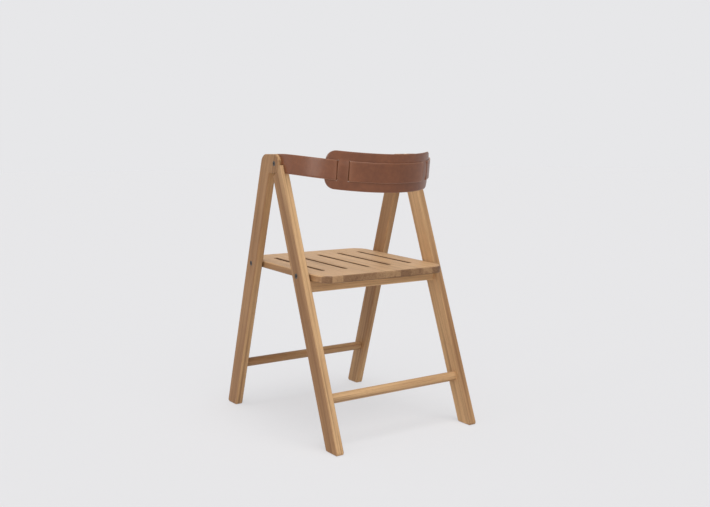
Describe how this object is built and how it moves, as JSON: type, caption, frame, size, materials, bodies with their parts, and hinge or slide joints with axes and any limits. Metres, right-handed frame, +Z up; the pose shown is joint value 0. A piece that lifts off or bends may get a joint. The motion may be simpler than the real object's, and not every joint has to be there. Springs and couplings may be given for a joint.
{
  "type": "folding chair",
  "caption": "Folding wooden chair with crossed-head A-frame sides, a slotted flat seat and a curved leather band threaded through a leather back pad.",
  "frame": {"origin": "on the floor, in the middle of the box round the four feet", "axes": "+X towards the sitter's left, -Y where the sitter looks, +Z up"},
  "size_m": [0.462, 0.6064, 0.7602],
  "materials": {
    "frame_wood": "oiled, satin",
    "seat_wood": "oiled, satin",
    "back_strap": "smooth, satin",
    "back_pad": "smooth, satin",
    "dark_steel": "dark, burnished"
  },
  "bodies": {
    "front_frame": {"left_front_leg": "frame_wood", "right_front_leg": "frame_wood", "front_stretcher": "frame_wood", "back_strap": "back_strap", "back_pad": "back_pad", "left_head_bolt": "dark_steel", "right_head_bolt": "dark_steel", "left_seat_bolt": "dark_steel", "right_seat_bolt": "dark_steel"},
    "rear_frame": {"left_rear_leg": "frame_wood", "right_rear_leg": "frame_wood", "rear_stretcher": "frame_wood", "seat_bearer": "frame_wood", "left_rest_stud": "dark_steel", "right_rest_stud": "dark_steel"},
    "seat": {"seat_panel": "seat_wood"}
  },
  "joints": [
    {"name": "rear_fold", "type": "hinge", "parent": "front_frame", "child": "rear_frame", "pos_m": [0, 0.00109, 0.7225], "axis": [1, 0, 0], "range_deg": [-38, 0]},
    {"name": "seat_tip", "type": "hinge", "parent": "front_frame", "child": "seat", "pos_m": [0, -0.13961, 0.4398], "axis": [1, 0, 0], "range_deg": [0, 74.1]}
  ],
  "couplings": [
    {"joint": "seat_tip", "follows": "rear_fold", "ratio": -1.9474}
  ]
}
